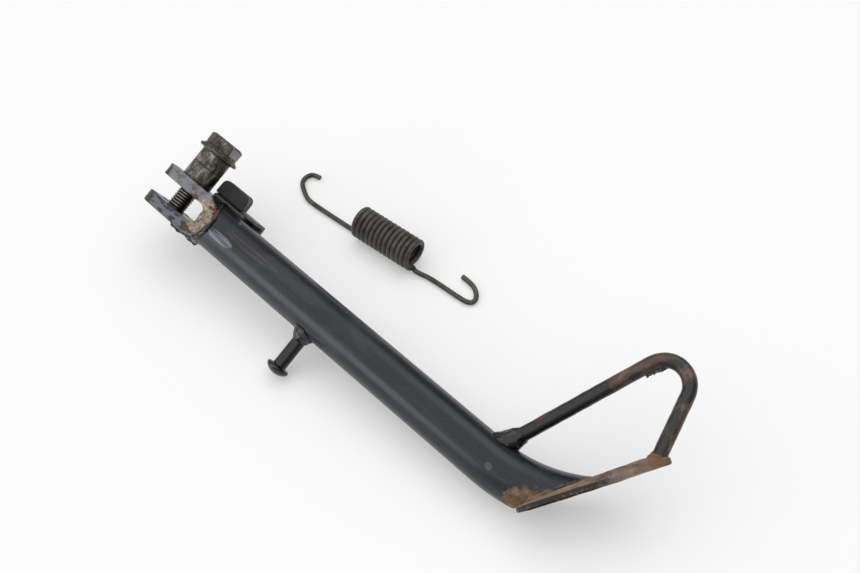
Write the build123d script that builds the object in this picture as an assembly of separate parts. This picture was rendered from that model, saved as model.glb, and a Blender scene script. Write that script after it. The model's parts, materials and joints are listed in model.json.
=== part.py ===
from build123d import *
import os
from math import cos, radians, sin

# Motorcycle side stand taken off the bike, with its pivot bolt half drawn out and its return spring
# lying loose beside it. Millimetres, +Z up, +X along the leg from the fork to the foot.
#
# The stand is drawn in a leg frame: x runs down the leg from the pivot, y points along the pivot bolt
# to its head, and z is the upper side of the leg. lay() then sets it down the way it lies, so the
# origin stays on the pivot axis, midway between the fork's ears.

# How the stand lies
ROLL = 29.4           # the bolt side is raised by this turn about the leg
PITCH = 3.8           # the foot end lies lower than the fork end
PIVOT_HEIGHT = 33.0   # pivot axis above the ground

# Leg tube
TUBE_D = 27.2
TUBE_WALL = 2.6
TUBE_START = 25.0     # square end of the tube, before it is mitred round the fork
BEND_START = 247.0
BEND_RADIUS = 100.0
BEND_SWEEP = 36.0     # long enough to pass through the sole, which trims it

# Fork: one thick plate bent into a U
EAR_GAP = 12.4
EAR_THICK = 7.4
EAR_PROUD = 0.4       # the ears stand this much above and below the tube
EAR_REACH = 16.0      # from the pivot axis to the ear tips
EAR_CORNER = 8.0
FORK_BEND_X = 19.8    # centre of the U bend behind the pivot axis

# Pivot bolt, a shoulder bolt with a flanged hexagon head
THREAD_D = 12.0
THREAD_END = -12.6    # y of the bolt's point, inside the lower ear
SHOULDER_D = 19.4
SHOULDER_LENGTH = 22.4
SHOULDER_ENGAGED = 3.0   # how much of the shoulder is still inside the upper ear
RELIEF_D = 10.6
RELIEF_LENGTH = 2.0
FLANGE_D = 26.0
FLANGE_THICK = 2.6
FLANGE_CONE = 1.4
HEX_ACROSS_FLATS = 19.0
HEX_HEIGHT = 7.0
HEX_CHAMFER = 1.2
THREAD_CHAMFER = 1.2
BOLT_CLEARANCE = 0.08    # radial

# Spring pin
PIN_X = 119.0
PIN_D = 8.0
PIN_LENGTH = 22.0     # from the tube to the underside of the head
PIN_HEAD_D = 14.0
PIN_HEAD_RIM = 1.8
PIN_HEAD_DOME = 3.4
PIN_WELD_D = 19.0
PIN_WELD_HEIGHT = 5.0

# Sole, a pressed tray across the cut end of the tube
SOLE_HEEL_BACK = 32.0         # from the start of the bend to the heel of its underside
SOLE_HEEL_RISE = 6.5          # from the tube's outer side up to that heel
SOLE_ANGLE = 56.8             # from the leg's axis
SOLE_TWIST = 6.0
SOLE_THICK = 3.0
SOLE_MARGIN = 0.9             # between the tube's sides and the rim
SOLE_HEEL_REACH = 4.4
SOLE_LENGTH = 78.0
SOLE_WAIST = 38.0             # where the sides start to run in to the tip
SOLE_TIP_R = 5.5
RIM_THICK = 2.0
RIM_CREST_HEIGHT = 6.5
RIM_CREST_BACK = 12.0         # from the tip to the highest point of the rim
RIM_TIP_HEIGHT = 3.6

# Foot loop, a bent rod for the rider's boot
LOOP_D = 8.0
LOOP_START_BACK = 4.2         # from the start of the bend to where the rod leaves the tube
LOOP_START_OUT = 4.0          # that point's height over the tube's side
LOOP_RISE = 67.3              # direction of the outer run from the leg's axis
LOOP_CORNER = 120.0           # from the start to the sharp corner of the two runs
LOOP_RETURN = -76.6           # direction of the inner run
LOOP_RETURN_LENGTH = 78.5
LOOP_BEND_RADIUS = 13.0
LOOP_WELD_D = 17.0
LOOP_WELD_HEIGHT = 9.0
TIP_WELD_D = 12.5
TIP_WELD_HEIGHT = 4.5

# Stop: a steel angle under the tube that carries a rubber buffer
ANGLE_THICK = 2.2
ANGLE_GAP = 2.0               # between the tube's side and the upright leaf
ANGLE_START = 13.5
ANGLE_END = 48.0
ANGLE_TOP = -4.0
FOOT_LEAF_START = 36.0
FOOT_LEAF_Y = 2.0
BUFFER_LENGTH = 22.6
BUFFER_THICK = 9.8
BUFFER_DEPTH = 18.0
BUFFER_TOP = -1.0
BUFFER_START = 14.2
BUFFER_LEAN = 22.0            # the buffer leans back toward the fork
BUFFER_CORNER = 3.5

# Welds
WELD_SIZE = 2.4
SIDE_WELD_START = -8.0
SIDE_WELD_END = 12.0
SIDE_WELD_Z = -9.5

# Return spring: a close-wound tension spring with a bent hook at each end
WIRE_D = 3.0
COIL_OUTER_D = 20.2
COIL_TURNS = 13
COIL_PITCH = 3.45
SPRING_CENTRE = (95.3, 76.9)  # x, y on the ground beside the leg
SPRING_TURN = 4.3             # about the vertical
HOOK_LIFT = 0.3               # the arms lie this much above the coil's lowest point
HOOK_GAP = 0.4                # between each arm and the end turn of the coil
ARM_OFFSET = -2.8             # the arms leave the coil this far to one side of its axis
LEFT_HOOK = [(-66.5, -2.4), (-80.5, 6.8), (-79.5, 17.6), (-71.5, 17.0)]
LEFT_HOOK_RADII = [8.0, 5.0, 3.8]
RIGHT_HOOK = [(68.6, -3.6), (67.4, 4.6), (59.0, 10.2), (49.5, 10.8)]
RIGHT_HOOK_RADII = [3.2, 5.0, 8.0]

EAR_HEIGHT = TUBE_D + 2 * EAR_PROUD
FORK_WIDTH = EAR_GAP + 2 * EAR_THICK
FORK_OUTER_R = FORK_WIDTH / 2
HEX_ACROSS_CORNERS = HEX_ACROSS_FLATS / cos(radians(30))
FLANGE_FACE_Y = FORK_WIDTH / 2 - SHOULDER_ENGAGED + SHOULDER_LENGTH
SHOULDER_END_Y = FLANGE_FACE_Y - SHOULDER_LENGTH
SOLE_WIDTH = TUBE_D + 2 * (SOLE_MARGIN + RIM_THICK)
SOLE_HEEL = (BEND_START + SOLE_HEEL_BACK, SOLE_HEEL_RISE - TUBE_D / 2)
LOOP_START = (BEND_START + LOOP_START_BACK, TUBE_D / 2 + LOOP_START_OUT)
ANGLE_FACE_Y = TUBE_D / 2 + ANGLE_GAP
COIL_LENGTH = COIL_TURNS * COIL_PITCH
ARM_START = COIL_LENGTH / 2 + WIRE_D / 2 + HOOK_GAP
LAY = Rot(0, PITCH, 0) * Rot(ROLL, 0, 0)
BIG = 200.0


def save(name, shape):
    """Write one piece to its own STEP file."""
    export_step(shape, f"parts/{name}.step")


def lay(shape):
    """Set a piece drawn in the leg frame down the way the stand lies."""
    return LAY * shape


def rod_y(diameter, y_low, y_high, x=0.0, z=0.0):
    """A round bar along y."""
    place = Pos(x, (y_low + y_high) / 2, z) * Rot(90, 0, 0)
    return place * Cylinder(diameter / 2, y_high - y_low)


def leg_path():
    """Centre-line of the tube: straight, then bent up toward the bolt side."""
    straight = Line((TUBE_START, 0, 0), (BEND_START, 0, 0))
    arc = JernArc(start=straight @ 1, tangent=straight % 1, radius=BEND_RADIUS, arc_size=BEND_SWEEP)
    return straight + arc


def leg_bar(diameter):
    """A round bar along the leg's centre-line."""
    profile = Plane((TUBE_START, 0, 0), x_dir=(0, 1, 0), z_dir=(1, 0, 0)) * Circle(diameter / 2)
    return sweep(profile, path=leg_path())


def fork_plan(grow=0.0):
    """Outside of the U plate seen from above, grown by a margin."""
    outer_r = FORK_OUTER_R + grow
    length = FORK_BEND_X + EAR_REACH
    ears = Pos((FORK_BEND_X - EAR_REACH) / 2, 0) * Rectangle(length, 2 * outer_r)
    return ears + Pos(FORK_BEND_X, 0) * Circle(outer_r)


def fork_filled(grow=0.0):
    """The fork with its slot filled, used to mitre the tube and shape the weld."""
    return extrude(fork_plan(grow), EAR_HEIGHT / 2, both=True)


def make_fork():
    """U plate with rounded ear tips, a plain bore above and the threaded ear below."""
    slot = Pos(FORK_BEND_X - BIG / 2, 0) * Rectangle(BIG, EAR_GAP)
    slot += Pos(FORK_BEND_X, 0) * Circle(EAR_GAP / 2)
    body = fork_filled() - extrude(slot, EAR_HEIGHT, both=True)
    side = RectangleRounded(2 * EAR_REACH, EAR_HEIGHT, EAR_CORNER)
    side += Pos(BIG / 2, 0) * Rectangle(BIG, EAR_HEIGHT)
    body &= extrude(Plane.XZ * side, BIG, both=True)
    body -= rod_y(SHOULDER_D + 2 * BOLT_CLEARANCE, 0, BIG)
    body -= rod_y(THREAD_D + 2 * BOLT_CLEARANCE, -BIG, 0)
    return body


def sole_plane():
    """Plane of the sole's underside: x toward the tip, z up into the tube."""
    along = Vector(cos(radians(SOLE_ANGLE)), sin(radians(SOLE_ANGLE)), 0)
    up = Vector(-along.Y, along.X, 0).rotate(Axis((0, 0, 0), along), SOLE_TWIST)
    return Plane(origin=(*SOLE_HEEL, 0), x_dir=along, z_dir=up)


def sole_outline(inset=0.0):
    """Round heel, straight sides, tapering to a small round tip."""
    side_r = SOLE_WIDTH / 2
    heel = Pos(side_r - SOLE_HEEL_REACH, 0) * Circle(side_r - inset)
    waist = Pos(SOLE_WAIST, 0) * Circle(side_r - inset)
    tip = Pos(SOLE_LENGTH - SOLE_TIP_R, 0) * Circle(SOLE_TIP_R - inset)
    return make_hull([*heel.edges(), *waist.edges(), *tip.edges()])


def make_tube():
    """Round tube, mitred round the fork at one end and cut off by the sole at the other."""
    tube = leg_bar(TUBE_D) - leg_bar(TUBE_D - 2 * TUBE_WALL)
    below_sole = sole_plane() * Pos(0, 0, SOLE_THICK - BIG / 2) * Box(BIG, BIG, BIG)
    return tube - fork_filled() - below_sole


def make_sole():
    """Pressed tray: flat floor and a rim that grows from the heel and dies away round the tip."""
    floor = extrude(sole_outline(), SOLE_THICK)
    wall = extrude(sole_outline() - sole_outline(RIM_THICK), RIM_CREST_HEIGHT)
    rise = RIM_CREST_HEIGHT - SOLE_THICK
    run = SOLE_LENGTH + SOLE_HEEL_REACH
    edge = Polyline(
        (-SOLE_HEEL_REACH, SOLE_THICK),
        (SOLE_LENGTH - RIM_CREST_BACK, RIM_CREST_HEIGHT),
        (SOLE_LENGTH, RIM_TIP_HEIGHT),
        (SOLE_LENGTH + run, RIM_TIP_HEIGHT),
        (SOLE_LENGTH + run, BIG),
        (-SOLE_HEEL_REACH - run, BIG),
        (-SOLE_HEEL_REACH - run, SOLE_THICK - rise),
        close=True,
    )
    above_rim = extrude(Plane.XZ * make_face(edge), BIG, both=True)
    tray = sole_plane() * (floor + (wall - above_rim))
    return tray - leg_bar(TUBE_D)


def loop_path():
    """Centre-line of the rod: out from the tube, round one tight bend and back to the sole's tip."""
    rise = Vector(cos(radians(LOOP_RISE)), sin(radians(LOOP_RISE)))
    back = Vector(cos(radians(LOOP_RETURN)), sin(radians(LOOP_RETURN)))
    start = Vector(*LOOP_START) - rise * LOOP_D
    corner = Vector(*LOOP_START) + rise * LOOP_CORNER
    end = corner + back * LOOP_RETURN_LENGTH
    return FilletPolyline(start, corner, end, radius=LOOP_BEND_RADIUS)


def make_loop(sole):
    """Bent rod, coped to the tube at one end and to the sole at the other."""
    path = loop_path()
    bar = sweep(Plane(path @ 0, z_dir=path % 0) * Circle(LOOP_D / 2), path=path)
    below_sole = sole_plane() * Pos(0, 0, SOLE_THICK - BIG / 2) * Box(BIG, BIG, BIG)
    return bar - leg_bar(TUBE_D) - below_sole - sole


def make_pin():
    """Mushroom-headed pin that stands out of the tube's near side."""
    tube_y = -TUBE_D / 2
    head_y = tube_y - PIN_LENGTH
    rim_y = head_y - PIN_HEAD_RIM
    dome_r = ((PIN_HEAD_D / 2) ** 2 + PIN_HEAD_DOME ** 2) / (2 * PIN_HEAD_DOME)
    pin = rod_y(PIN_D, head_y, 0, PIN_X) + rod_y(PIN_HEAD_D, rim_y, head_y, PIN_X)
    ball = Pos(PIN_X, rim_y - PIN_HEAD_DOME + dome_r, 0) * Sphere(dome_r)
    pin += ball & rod_y(PIN_HEAD_D, rim_y - PIN_HEAD_DOME, rim_y, PIN_X)
    return pin - leg_bar(TUBE_D)


def weld_cone(centre, direction, base_d, top_d, height):
    """Cone-shaped weld round a bar that leaves a surface at centre along direction."""
    root = Plane(centre - direction * height * 0.6, z_dir=direction)
    cone = Cone(base_d / 2, top_d / 2, 1.6 * height, align=(Align.CENTER, Align.CENTER, Align.MIN))
    return root * cone


def make_bolt():
    """Shoulder bolt: thread, relief groove, shoulder, flange with a cone and hexagon head."""
    flange_y = FLANGE_FACE_Y + FLANGE_THICK
    hex_y = flange_y + FLANGE_CONE
    bolt = rod_y(THREAD_D, THREAD_END, SHOULDER_END_Y - RELIEF_LENGTH)
    bolt += rod_y(RELIEF_D, SHOULDER_END_Y - RELIEF_LENGTH, SHOULDER_END_Y)
    bolt += rod_y(SHOULDER_D, SHOULDER_END_Y, FLANGE_FACE_Y)
    bolt += rod_y(FLANGE_D, FLANGE_FACE_Y, flange_y)
    cone = Cone(FLANGE_D / 2, HEX_ACROSS_FLATS / 2, FLANGE_CONE)
    bolt += Pos(0, flange_y + FLANGE_CONE / 2, 0) * Rot(-90, 0, 0) * cone
    hexagon = RegularPolygon(HEX_ACROSS_FLATS / 2, 6, major_radius=False)
    crown = Cylinder(HEX_ACROSS_CORNERS / 2, HEX_HEIGHT, align=(Align.CENTER, Align.CENTER, Align.MIN))
    crown = chamfer(crown.edges().group_by(Axis.Z)[-1], HEX_CHAMFER)
    head = extrude(hexagon, HEX_HEIGHT) & crown
    bolt += Pos(0, hex_y, 0) * Rot(-90, 0, 0) * head
    return chamfer(bolt.edges().group_by(Axis.Y)[0], THREAD_CHAMFER)


def make_stop_angle():
    """Upright leaf beside the tube with a short foot leaf welded under it."""
    foot_top = -TUBE_D / 2
    foot_bottom = foot_top - ANGLE_THICK
    outer_y = ANGLE_FACE_Y + ANGLE_THICK
    upright = Pos((ANGLE_START + ANGLE_END) / 2, ANGLE_FACE_Y + ANGLE_THICK / 2, (ANGLE_TOP + foot_bottom) / 2)
    leaf = upright * Box(ANGLE_END - ANGLE_START, ANGLE_THICK, ANGLE_TOP - foot_bottom)
    place = Pos((FOOT_LEAF_START + ANGLE_END) / 2, (FOOT_LEAF_Y + outer_y) / 2, foot_top - ANGLE_THICK / 2)
    leaf += place * Box(ANGLE_END - FOOT_LEAF_START, outer_y - FOOT_LEAF_Y, ANGLE_THICK)
    return leaf - leg_bar(TUBE_D)


def make_buffer():
    """Rubber block bonded to the outer face of the angle, leaning back toward the fork."""
    low_y = ANGLE_FACE_Y + ANGLE_THICK
    drop = Vector(-sin(radians(BUFFER_LEAN)), 0, -cos(radians(BUFFER_LEAN)))
    outline = RectangleRounded(BUFFER_LENGTH, 2 * BUFFER_THICK, BUFFER_CORNER)
    outline &= Pos(0, BUFFER_THICK / 2) * Rectangle(BUFFER_LENGTH, BUFFER_THICK)
    top = Pos(BUFFER_START + BUFFER_LENGTH / 2, low_y, BUFFER_TOP) * outline
    return extrude(top, BUFFER_DEPTH, dir=drop)


def make_fork_weld():
    """Collar of weld where the mitred tube meets the back of the fork."""
    around_fork = extrude(fork_plan(WELD_SIZE), EAR_HEIGHT / 2 + WELD_SIZE / 3, both=True)
    around_tube = leg_bar(TUBE_D + WELD_SIZE)
    return (around_fork & around_tube) - fork_filled() - leg_bar(TUBE_D)


def make_side_weld():
    """Lumpy bead along the outer side of the threaded ear."""
    y = -FORK_WIDTH / 2
    length = SIDE_WELD_END - SIDE_WELD_START
    middle = Pos((SIDE_WELD_START + SIDE_WELD_END) / 2, y, SIDE_WELD_Z)
    bar = middle * Rot(0, 90, 0) * Cylinder(WELD_SIZE, length)
    for end_x in (SIDE_WELD_START, SIDE_WELD_END):
        bar += Pos(end_x, y, SIDE_WELD_Z) * Sphere(WELD_SIZE)
    return bar & (Pos(0, y - BIG / 2, 0) * Box(BIG, BIG, BIG))


def make_sole_weld(sole):
    """Fillet of weld between the tube's oval foot and the tray."""
    slab = sole_plane() * extrude(sole_outline(RIM_THICK), SOLE_THICK + WELD_SIZE)
    return (slab & leg_bar(TUBE_D + 2 * WELD_SIZE)) - leg_bar(TUBE_D) - sole


def make_stop_weld(angle):
    """Bead along the foot leaf's edge under the tube."""
    length = ANGLE_END - FOOT_LEAF_START
    place = Pos((FOOT_LEAF_START + ANGLE_END) / 2, FOOT_LEAF_Y - WELD_SIZE / 2, -TUBE_D / 2)
    return place * Rot(0, 90, 0) * Cylinder(WELD_SIZE, length) - leg_bar(TUBE_D) - angle


def ground_point(x, y, height):
    """A point of the spring, from its own axes to the row's axes."""
    turned = Vector(x, y).rotate(Axis.Z, SPRING_TURN)
    return Vector(SPRING_CENTRE[0] + turned.X, SPRING_CENTRE[1] + turned.Y, height - PIVOT_HEIGHT)


def make_coil():
    """Close-wound turns lying on the ground."""
    mean_r = (COIL_OUTER_D - WIRE_D) / 2
    wire = Helix(pitch=COIL_PITCH, height=COIL_LENGTH, radius=mean_r)
    turns = sweep(Plane(wire @ 0, z_dir=wire % 0) * Circle(WIRE_D / 2), path=wire, is_frenet=True)
    centre = ground_point(0, 0, COIL_OUTER_D / 2)
    return Pos(*centre) * Rot(0, 0, SPRING_TURN) * Rot(0, 90, 0) * Pos(0, 0, -COIL_LENGTH / 2) * turns


def make_hook(side, route, radii):
    """Straight arm and bent hook, lying on the ground."""
    height = WIRE_D / 2 + HOOK_LIFT
    points = [ground_point(x, y, height) for x, y in [(side * ARM_START, ARM_OFFSET), *route]]
    path = FilletPolyline(*points, radius=radii)
    return sweep(Plane(path @ 0, z_dir=path % 0) * Circle(WIRE_D / 2), path=path)


def make_loop_root_weld(loop):
    """Cone of weld round the rod where it leaves the tube."""
    path = loop_path()
    start = Vector(*LOOP_START) - (path % 0) * (LOOP_WELD_HEIGHT / 3)
    cone = weld_cone(start, path % 0, LOOP_WELD_D, LOOP_D, LOOP_WELD_HEIGHT)
    return cone - leg_bar(TUBE_D) - loop


def make_loop_tip_weld(loop, sole):
    """Cone of weld where the rod lands in the sole's tip."""
    plane = sole_plane()
    path = loop_path()
    direction = -(path % 1)
    end = path @ 1
    reach = (plane.origin + plane.z_dir * SOLE_THICK - end).dot(plane.z_dir) / direction.dot(plane.z_dir)
    cone = weld_cone(end + direction * reach, direction, TIP_WELD_D, LOOP_D, TIP_WELD_HEIGHT)
    below_sole = plane * Pos(0, 0, SOLE_THICK - BIG / 2) * Box(BIG, BIG, BIG)
    return cone - below_sole - loop - sole


def make_pin_weld(pin):
    """Ring of weld round the foot of the spring pin."""
    place = Vector(PIN_X, -TUBE_D / 2, 0)
    return weld_cone(place, Vector(0, -1, 0), PIN_WELD_D, PIN_D, PIN_WELD_HEIGHT) - leg_bar(TUBE_D) - pin


os.makedirs("parts", exist_ok=True)

SOLE = make_sole()
LOOP = make_loop(SOLE)
PIN = make_pin()
STOP_ANGLE = make_stop_angle()

stand_pieces = {
    "fork": make_fork(),
    "leg_tube": make_tube(),
    "fork_weld": make_fork_weld(),
    "ear_side_weld": make_side_weld(),
    "pivot_bolt": make_bolt(),
    "stop_angle": STOP_ANGLE,
    "stop_angle_weld": make_stop_weld(STOP_ANGLE),
    "rubber_stop": make_buffer(),
    "spring_pin": PIN,
    "spring_pin_weld": make_pin_weld(PIN),
    "sole_plate": SOLE,
    "sole_weld": make_sole_weld(SOLE),
    "foot_loop": LOOP,
    "loop_root_weld": make_loop_root_weld(LOOP),
    "loop_tip_weld": make_loop_tip_weld(LOOP, SOLE),
}

for name, piece in stand_pieces.items():
    save(name, lay(piece))

save("spring_coil", make_coil())
save("spring_hook_fork_end", make_hook(-1, LEFT_HOOK, LEFT_HOOK_RADII))
save("spring_hook_foot_end", make_hook(1, RIGHT_HOOK, RIGHT_HOOK_RADII))
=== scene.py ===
import json
from math import acos, atan2, cos, pi, radians, sin, tan

import bpy
from mathutils import Matrix, Vector


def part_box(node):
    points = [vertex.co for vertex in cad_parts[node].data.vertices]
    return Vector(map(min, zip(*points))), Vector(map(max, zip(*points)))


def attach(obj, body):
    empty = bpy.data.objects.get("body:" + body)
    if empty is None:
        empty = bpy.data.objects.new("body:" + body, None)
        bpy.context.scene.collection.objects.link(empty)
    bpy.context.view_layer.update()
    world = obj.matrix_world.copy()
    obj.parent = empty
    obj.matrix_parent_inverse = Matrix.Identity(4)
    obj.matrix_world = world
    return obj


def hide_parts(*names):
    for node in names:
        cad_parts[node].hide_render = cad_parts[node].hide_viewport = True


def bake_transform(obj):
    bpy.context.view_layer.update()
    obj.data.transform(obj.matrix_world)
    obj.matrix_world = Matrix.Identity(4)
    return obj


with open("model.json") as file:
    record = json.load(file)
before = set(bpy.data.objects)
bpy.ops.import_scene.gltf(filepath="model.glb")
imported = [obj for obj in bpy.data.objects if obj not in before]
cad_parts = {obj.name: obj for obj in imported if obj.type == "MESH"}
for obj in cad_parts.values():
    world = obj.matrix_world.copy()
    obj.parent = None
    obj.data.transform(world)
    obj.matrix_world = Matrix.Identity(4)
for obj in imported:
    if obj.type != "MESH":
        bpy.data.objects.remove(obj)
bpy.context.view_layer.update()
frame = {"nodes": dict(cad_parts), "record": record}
bpy.ops.object.select_all(action="DESELECT")

# ---------------------------------------------------------------------------------------------
# The table top, the camera and the light. The stand lies on a pale table in a room with a white
# ceiling and dim walls, with a soft box behind it and a window low on the near side. A little glow
# in the table stands for light that comes back from the room and thins the shadows.
# ---------------------------------------------------------------------------------------------
MM = 0.001
TABLE_SIZE = 6.0
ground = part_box("spring_coil")[0][2]

bpy.ops.mesh.primitive_plane_add(size=TABLE_SIZE, location=(0, 0, ground))
table = bpy.context.object
table.name = "table_top"
table_paint = bpy.data.materials.new("pale_table")
table_paint.use_nodes = True
table_shader = table_paint.node_tree.nodes["Principled BSDF"]
table_shader.inputs["Base Color"].default_value = (0.57, 0.57, 0.567, 1)
table_shader.inputs["Emission Color"].default_value = (1.0, 0.99, 0.975, 1)
table_shader.inputs["Emission Strength"].default_value = 0.285
table_shader.inputs["Roughness"].default_value = 0.55
table.data.materials.append(table_paint)

eye = Vector((0.4602, -0.2660, 0.5380))
target = Vector((0.1343, 0.0734, ground))
bpy.ops.object.camera_add(location=eye, rotation=(target - eye).to_track_quat("-Z", "Y").to_euler())
camera = bpy.context.object
camera.data.sensor_width = 36.0
camera.data.lens = 51.9
camera.data.clip_start = 0.01
bpy.context.scene.camera = camera


def soft_box(name, place, size, power, tint):
    """A square area light aimed at the middle of the stand."""
    bpy.ops.object.light_add(type="AREA", location=place)
    lamp = bpy.context.object
    lamp.name = name
    aim = Vector((0.15, 0.02, ground)) - Vector(place)
    lamp.rotation_euler = aim.to_track_quat("-Z", "Y").to_euler()
    lamp.data.shape = "SQUARE"
    lamp.data.size = size
    lamp.data.energy = power
    lamp.data.color = tint


soft_box("soft_box_behind", (0.10, 0.80, 1.15), 0.9, 2.4, (1.0, 1.0, 0.99))
soft_box("window_near_side", (-0.62, -1.45, 0.32), 0.9, 7.5, (0.95, 0.97, 1.0))

world = bpy.data.worlds.new("studio")
world.use_nodes = True
room = world.node_tree
room.nodes["Background"].inputs["Color"].default_value = (0.985, 0.98, 1.0, 1)
look = room.nodes.new("ShaderNodeVectorMath")
look.operation = "DOT_PRODUCT"
look.inputs[1].default_value = (-0.20, -0.22, 0.95)
room.links.new(room.nodes.new("ShaderNodeTexCoord").outputs["Generated"], look.inputs[0])
ceiling = room.nodes.new("ShaderNodeMapRange")
ceiling.interpolation_type = "SMOOTHSTEP"
ceiling.inputs["From Min"].default_value = 0.35
ceiling.inputs["From Max"].default_value = 0.80
ceiling.inputs["To Min"].default_value = 0.38
ceiling.inputs["To Max"].default_value = 1.45
room.links.new(look.outputs["Value"], ceiling.inputs["Value"])
room.links.new(ceiling.outputs["Result"], room.nodes["Background"].inputs["Strength"])
bpy.context.scene.world = world
bpy.context.scene.view_settings.view_transform = "Standard"

# ---------------------------------------------------------------------------------------------
# Leg tube: drawn steel tube, bent near the foot, in satin black paint. The paint is dusty, has a
# bare scuff beside the fork and has rusted through round the heel.
# ---------------------------------------------------------------------------------------------
joint_axes = {joint["name"]: Vector(joint["axis"]) for joint in frame["record"]["behaviour"]["joints"]}
bolt_axis = joint_axes["pivot_bolt_slide"]
pitch = atan2(bolt_axis.x, bolt_axis.z)
roll = acos(bolt_axis.y)
lay = Matrix.Rotation(pitch, 4, "Y") @ Matrix.Rotation(roll, 4, "X")


def put(tree, kind, **settings):
    """Adds a node and sets its properties (lower case) and its plain inputs (capitalised)."""
    made = tree.nodes.new(kind)
    for key, value in settings.items():
        if key[0].islower():
            setattr(made, key, value)
        else:
            made.inputs[key.replace("_", " ")].default_value = value
    return made


def feed(tree, source, socket):
    """Links a socket to an input, or sets the input to a plain value."""
    if isinstance(source, bpy.types.NodeSocket):
        tree.links.new(source, socket)
    elif isinstance(source, (tuple, list)) and len(socket.default_value) == 4:
        socket.default_value = (*source[:3], 1.0)
    else:
        socket.default_value = source


def new_group(name, inputs, outputs):
    """An empty shader node group with named sockets, and its input and output nodes."""
    group = bpy.data.node_groups.new(name, "ShaderNodeTree")
    for label, kind, value in inputs:
        socket = group.interface.new_socket(name=label, in_out="INPUT", socket_type=kind)
        if value is not None:
            socket.default_value = value
    for label, kind in outputs:
        group.interface.new_socket(name=label, in_out="OUTPUT", socket_type=kind)
    return group, group.nodes.new("NodeGroupInput"), group.nodes.new("NodeGroupOutput")


def make_ragged_patch():
    """Mask of a worn or rusted spot: a ball round a centre with a broken-up edge."""
    sockets = [("Vector", "NodeSocketVector", None), ("Centre", "NodeSocketVector", None),
               ("Reach", "NodeSocketFloat", 0.01), ("Ragged", "NodeSocketFloat", 0.8),
               ("Grain", "NodeSocketFloat", 300.0)]
    group, start, end = new_group("ragged_patch", sockets, [("Mask", "NodeSocketFloat")])
    link = group.links.new
    gap = put(group, "ShaderNodeVectorMath", operation="DISTANCE")
    link(start.outputs["Vector"], gap.inputs[0])
    link(start.outputs["Centre"], gap.inputs[1])
    share = put(group, "ShaderNodeMath", operation="DIVIDE")
    link(gap.outputs["Value"], share.inputs[0])
    link(start.outputs["Reach"], share.inputs[1])
    noise = put(group, "ShaderNodeTexNoise", Detail=6.0, Roughness=0.65)
    link(start.outputs["Vector"], noise.inputs["Vector"])
    link(start.outputs["Grain"], noise.inputs["Scale"])
    swing = put(group, "ShaderNodeMath", operation="SUBTRACT")
    link(noise.outputs["Fac"], swing.inputs[0])
    swing.inputs[1].default_value = 0.5
    broken = put(group, "ShaderNodeMath", operation="MULTIPLY_ADD")
    link(swing.outputs[0], broken.inputs[0])
    link(start.outputs["Ragged"], broken.inputs[1])
    inside = put(group, "ShaderNodeMath", operation="SUBTRACT")
    inside.inputs[0].default_value = 1.0
    link(share.outputs[0], inside.inputs[1])
    link(inside.outputs[0], broken.inputs[2])
    edge = put(group, "ShaderNodeMapRange", interpolation_type="SMOOTHSTEP", From_Min=0.0, From_Max=0.14)
    link(broken.outputs[0], edge.inputs["Value"])
    link(edge.outputs["Result"], end.inputs["Mask"])
    return group


def make_mottle():
    """Three tones of one surface, such as rust or old steel, broken up at two sizes."""
    sockets = [("Vector", "NodeSocketVector", None), ("Grain", "NodeSocketFloat", 250.0),
               ("Dark", "NodeSocketColor", (0, 0, 0, 1)), ("Middle", "NodeSocketColor", (0, 0, 0, 1)),
               ("Light", "NodeSocketColor", (0, 0, 0, 1))]
    results = [("Color", "NodeSocketColor"), ("Height", "NodeSocketFloat")]
    group, start, end = new_group("mottle", sockets, results)
    link = group.links.new
    noise = put(group, "ShaderNodeTexNoise", Detail=8.0, Roughness=0.62, Distortion=0.3)
    link(start.outputs["Vector"], noise.inputs["Vector"])
    link(start.outputs["Grain"], noise.inputs["Scale"])
    low = put(group, "ShaderNodeMapRange", interpolation_type="SMOOTHSTEP", From_Min=0.36, From_Max=0.50)
    high = put(group, "ShaderNodeMapRange", interpolation_type="SMOOTHSTEP", From_Min=0.52, From_Max=0.68)
    first = put(group, "ShaderNodeMix", data_type="RGBA")
    second = put(group, "ShaderNodeMix", data_type="RGBA")
    link(noise.outputs["Fac"], low.inputs["Value"])
    link(noise.outputs["Fac"], high.inputs["Value"])
    link(low.outputs["Result"], first.inputs[0])
    link(start.outputs["Dark"], first.inputs[6])
    link(start.outputs["Middle"], first.inputs[7])
    link(high.outputs["Result"], second.inputs[0])
    link(first.outputs[2], second.inputs[6])
    link(start.outputs["Light"], second.inputs[7])
    link(second.outputs[2], end.inputs["Color"])
    link(noise.outputs["Fac"], end.inputs["Height"])
    return group


def make_specks():
    """Mask of small scattered specks, such as dust, chips or pits."""
    sockets = [("Vector", "NodeSocketVector", None), ("Grain", "NodeSocketFloat", 900.0),
               ("Share", "NodeSocketFloat", 0.1)]
    group, start, end = new_group("specks", sockets, [("Mask", "NodeSocketFloat")])
    link = group.links.new
    noise = put(group, "ShaderNodeTexNoise", Detail=2.0, Roughness=0.5)
    link(start.outputs["Vector"], noise.inputs["Vector"])
    link(start.outputs["Grain"], noise.inputs["Scale"])
    level = put(group, "ShaderNodeMath", operation="MULTIPLY_ADD")
    link(start.outputs["Share"], level.inputs[0])
    level.inputs[1].default_value = -0.5
    level.inputs[2].default_value = 0.78
    top = put(group, "ShaderNodeMath", operation="ADD")
    link(level.outputs[0], top.inputs[0])
    top.inputs[1].default_value = 0.05
    edge = put(group, "ShaderNodeMapRange")
    link(noise.outputs["Fac"], edge.inputs["Value"])
    link(level.outputs[0], edge.inputs["From Min"])
    link(top.outputs[0], edge.inputs["From Max"])
    link(edge.outputs["Result"], end.inputs["Mask"])
    return group


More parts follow.
